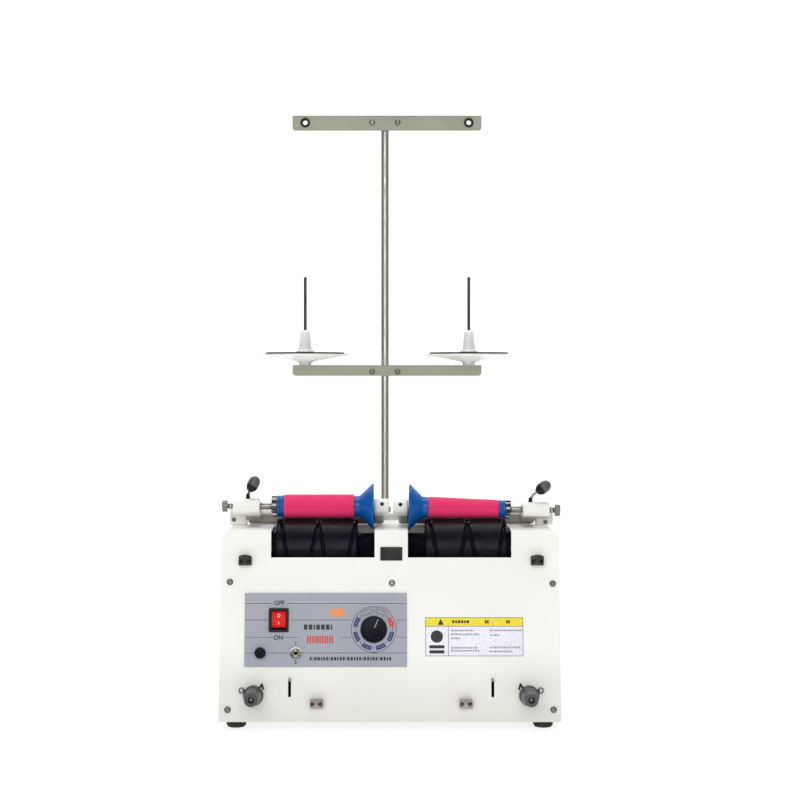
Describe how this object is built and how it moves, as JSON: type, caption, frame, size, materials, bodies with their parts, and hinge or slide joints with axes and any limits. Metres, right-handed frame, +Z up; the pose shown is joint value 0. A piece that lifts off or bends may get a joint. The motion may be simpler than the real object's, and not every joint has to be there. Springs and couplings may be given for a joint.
{
  "type": "twin-head thread winder",
  "caption": "Bench-top electric thread winder: two friction drums in a sheet-metal cabinet, two swinging bobbin cradles, and a stand with supply dishes and thread eyes.",
  "frame": {"origin": "on the bench surface under the middle of the whole machine", "axes": "+X to the operator's right, +Y from the front panel to the back, +Z up"},
  "size_m": [0.4081, 0.3115, 0.747],
  "materials": {
    "cabinet_paint": "semi-gloss off-white powder coat",
    "steel": "plain machined steel",
    "chrome": "bright chrome plate",
    "black_plastic": "glossy black phenolic",
    "black_matte": "matte black plastic",
    "dark_grey": "dark grey plastic",
    "grey_metal": "dark grey painted metal",
    "khaki_paint": "khaki-grey paint",
    "white_plastic": "white moulded plastic",
    "blue_plastic": "glossy blue plastic",
    "pink_thread": "wound pink sewing thread",
    "red_plastic": "translucent-looking red rocker",
    "control_plate": "silver-lilac printed plate",
    "rubber": "black rubber"
  },
  "bodies": {
    "frame": {"housing_shell": "cabinet_paint", "front_panel": "cabinet_paint", "base_plate": "steel", "control_plate": "control_plate", "switch_bezel": "black_matte", "foot_front_left": "rubber", "foot_front_right": "rubber", "foot_rear_left": "rubber", "foot_rear_right": "rubber", "power_inlet": "black_matte", "bearing_bracket_left": "steel", "bearing_bracket_right": "steel", "motor_body": "grey_metal", "drive_belt": "rubber", "pivot_shaft": "steel", "pivot_bracket_left": "cabinet_paint", "pivot_bracket_right": "cabinet_paint", "stand_pole": "steel", "spool_bar": "khaki_paint", "guide_bar": "khaki_paint", "eyelet_left": "black_plastic", "eyelet_right": "black_plastic", "spool_dish_left": "white_plastic", "spool_dish_right": "white_plastic", "spool_pin_left": "white_plastic", "spool_pin_right": "white_plastic", "upper_guide_left": "dark_grey", "upper_guide_right": "dark_grey", "lower_guide_left": "steel", "lower_guide_right": "steel", "tension_post_left": "grey_metal", "tension_post_right": "grey_metal"},
    "drums": {"drum_shaft": "steel", "drum_left": "black_plastic", "drum_right": "black_plastic"},
    "motor_rotor": {"motor_pulley": "steel"},
    "rocker": {"switch_rocker": "red_plastic"},
    "toggle": {"toggle_bat": "chrome"},
    "speed_control": {"speed_knob": "black_plastic"},
    "fuse_holder_cap": {"fuse_cap": "black_matte"},
    "cradle_left": {"cradle_left": "cabinet_paint"},
    "bobbin_left": {"bobbin_left": "blue_plastic", "thread_package_left": "pink_thread"},
    "spindle_left": {"spindle_left": "chrome", "release_lever_left": "chrome", "lever_grip_left": "dark_grey"},
    "chuck_left": {"chuck_left": "chrome"},
    "preload_left": {"preload_knob_left": "steel"},
    "tension_left": {"tension_knob_left": "dark_grey"},
    "feeler_left": {"feeler_left": "chrome"},
    "cradle_right": {"cradle_right": "cabinet_paint"},
    "bobbin_right": {"bobbin_right": "blue_plastic", "thread_package_right": "pink_thread"},
    "spindle_right": {"spindle_right": "chrome", "release_lever_right": "chrome", "lever_grip_right": "dark_grey"},
    "chuck_right": {"chuck_right": "chrome"},
    "preload_right": {"preload_knob_right": "steel"},
    "tension_right": {"tension_knob_right": "dark_grey"},
    "feeler_right": {"feeler_right": "chrome"}
  },
  "joints": [
    {"name": "drum_spin", "type": "hinge", "parent": "frame", "child": "drums", "pos_m": [-0.00007, -0.04212, 0.203], "axis": [1, 0, 0], "continuous": true},
    {"name": "motor_spin", "type": "hinge", "parent": "frame", "child": "motor_rotor", "pos_m": [-0.00007, 0.03288, 0.065], "axis": [1, 0, 0], "continuous": true},
    {"name": "cradle_left_swing", "type": "hinge", "parent": "frame", "child": "cradle_left", "pos_m": [-0.08907, -0.00512, 0.2403], "axis": [-1, 0, 0], "range_deg": [0, 60]},
    {"name": "bobbin_left_spin", "type": "hinge", "parent": "cradle_left", "child": "bobbin_left", "pos_m": [-0.08707, -0.04212, 0.25555], "axis": [1, 0, 0], "continuous": true},
    {"name": "spindle_left_slide", "type": "slide", "parent": "cradle_left", "child": "spindle_left", "axis": [-1, 0, 0], "range_m": [0, 0.01], "stiffness_N_per_m": 200, "springref_m": -0.01},
    {"name": "chuck_left_spin", "type": "hinge", "parent": "spindle_left", "child": "chuck_left", "pos_m": [-0.08707, -0.04212, 0.25555], "axis": [1, 0, 0], "continuous": true},
    {"name": "preload_left_turn", "type": "hinge", "parent": "cradle_left", "child": "preload_left", "pos_m": [-0.08707, -0.04212, 0.25555], "axis": [-1, 0, 0], "range_deg": [-360, 720]},
    {"name": "tension_left_turn", "type": "hinge", "parent": "frame", "child": "tension_left", "pos_m": [-0.16057, -0.11249, 0.04096], "axis": [0, -0.9994, 0.0349], "range_deg": [-360, 720]},
    {"name": "feeler_left_dip", "type": "hinge", "parent": "frame", "child": "feeler_left", "pos_m": [-0.11877, -0.09528, 0.05466], "axis": [1, 0, 0], "range_deg": [0, 40], "stiffness_Nm_per_rad": 0.004, "springref_deg": -28.65},
    {"name": "cradle_right_swing", "type": "hinge", "parent": "frame", "child": "cradle_right", "pos_m": [0.08893, -0.00512, 0.2403], "axis": [-1, 0, 0], "range_deg": [0, 60]},
    {"name": "bobbin_right_spin", "type": "hinge", "parent": "cradle_right", "child": "bobbin_right", "pos_m": [0.08693, -0.04212, 0.2532], "axis": [0.9997, 0, -0.0236], "continuous": true},
    {"name": "spindle_right_slide", "type": "slide", "parent": "cradle_right", "child": "spindle_right", "axis": [0.9997, 0, -0.0236], "range_m": [0, 0.01], "stiffness_N_per_m": 200, "springref_m": -0.01},
    {"name": "chuck_right_spin", "type": "hinge", "parent": "spindle_right", "child": "chuck_right", "pos_m": [0.08693, -0.04212, 0.2532], "axis": [0.9997, 0, -0.0236], "continuous": true},
    {"name": "preload_right_turn", "type": "hinge", "parent": "cradle_right", "child": "preload_right", "pos_m": [0.08693, -0.04212, 0.2532], "axis": [0.9997, 0, -0.0236], "range_deg": [-360, 720]},
    {"name": "tension_right_turn", "type": "hinge", "parent": "frame", "child": "tension_right", "pos_m": [0.16043, -0.11249, 0.04096], "axis": [0, -0.9994, 0.0349], "range_deg": [-360, 720]},
    {"name": "feeler_right_dip", "type": "hinge", "parent": "frame", "child": "feeler_right", "pos_m": [0.11863, -0.09528, 0.05466], "axis": [1, 0, 0], "range_deg": [0, 40], "stiffness_Nm_per_rad": 0.004, "springref_deg": -28.65},
    {"name": "switch_rock", "type": "hinge", "parent": "frame", "child": "rocker", "pos_m": [-0.13207, -0.09777, 0.12591], "axis": [1, 0, 0], "range_deg": [0, 16]},
    {"name": "toggle_flip", "type": "hinge", "parent": "frame", "child": "toggle", "pos_m": [-0.11157, -0.10538, 0.08853], "axis": [1, 0, 0], "range_deg": [0, 28]},
    {"name": "speed_turn", "type": "hinge", "parent": "frame", "child": "speed_control", "pos_m": [-0.02057, -0.10135, 0.11553], "axis": [0, 0.989, -0.1478], "range_deg": [-175, 125]},
    {"name": "fuse_cap_turn", "type": "hinge", "parent": "frame", "child": "fuse_holder_cap", "pos_m": [-0.15337, -0.10538, 0.08853], "axis": [0, -0.989, 0.1478], "range_deg": [0, 90]}
  ],
  "couplings": [
    {"joint": "motor_spin", "follows": "drum_spin", "ratio": 1.6667},
    {"joint": "bobbin_left_spin", "follows": "drum_spin", "ratio": -2.6667},
    {"joint": "chuck_left_spin", "follows": "drum_spin", "ratio": -2.6667},
    {"joint": "bobbin_right_spin", "follows": "drum_spin", "ratio": -3.1933},
    {"joint": "chuck_right_spin", "follows": "drum_spin", "ratio": -3.1933}
  ]
}
